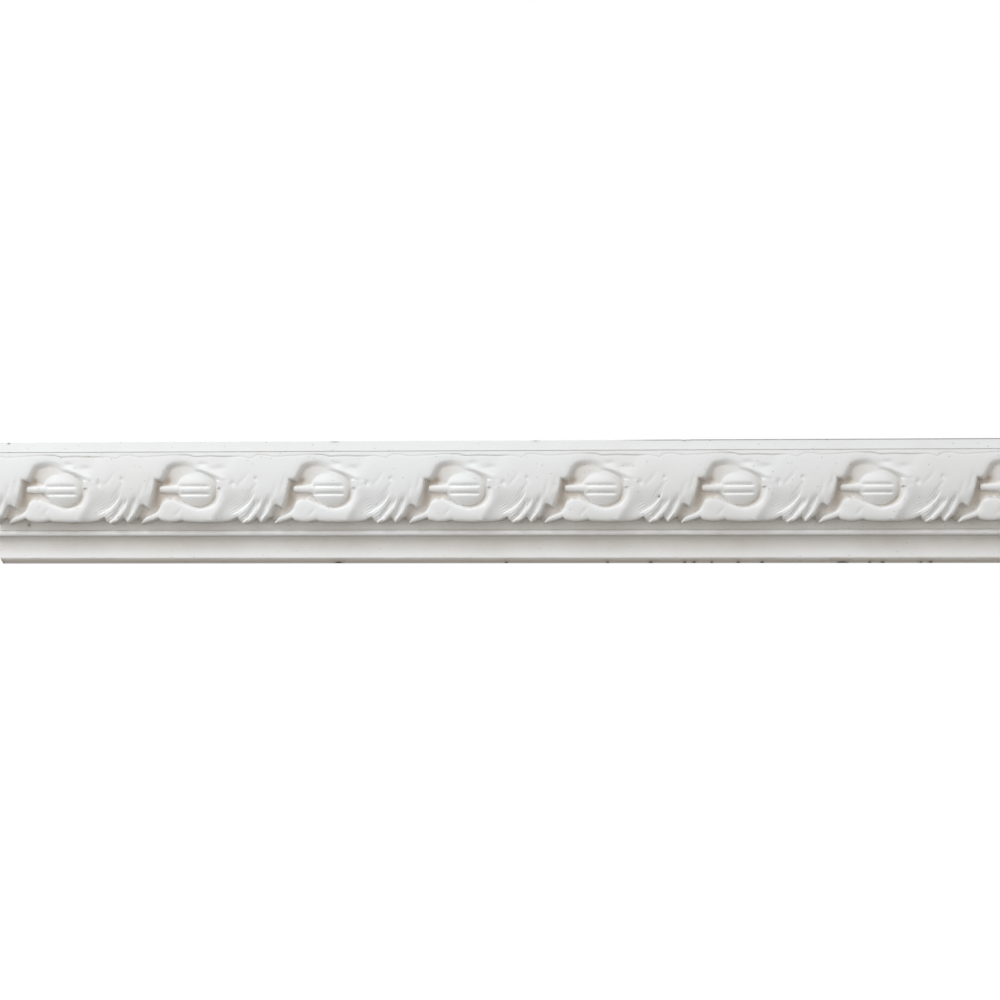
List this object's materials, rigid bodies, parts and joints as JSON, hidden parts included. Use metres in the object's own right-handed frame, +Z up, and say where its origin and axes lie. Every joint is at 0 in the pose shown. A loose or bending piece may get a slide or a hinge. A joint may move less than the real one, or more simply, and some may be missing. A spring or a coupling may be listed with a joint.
{
  "type": "cornice moulding length",
  "caption": "Straight plaster cornice length with a running acanthus leaf and ribbed seed pod band above a bead, a cavetto and a splayed lower edge.",
  "frame": {"origin": "middle of the wall bedding face, half way along the length", "axes": "+X along the length, +Y into the wall, so the carved face looks along -Y, and +Z up towards the ceiling"},
  "size_m": [1.016, 0.058, 0.122],
  "materials": {
    "plaster": "matt off-white cast gypsum plaster, unglazed and unpainted"
  },
  "bodies": {
    "root": {"cornice_length": "plaster"}
  },
  "joints": []
}
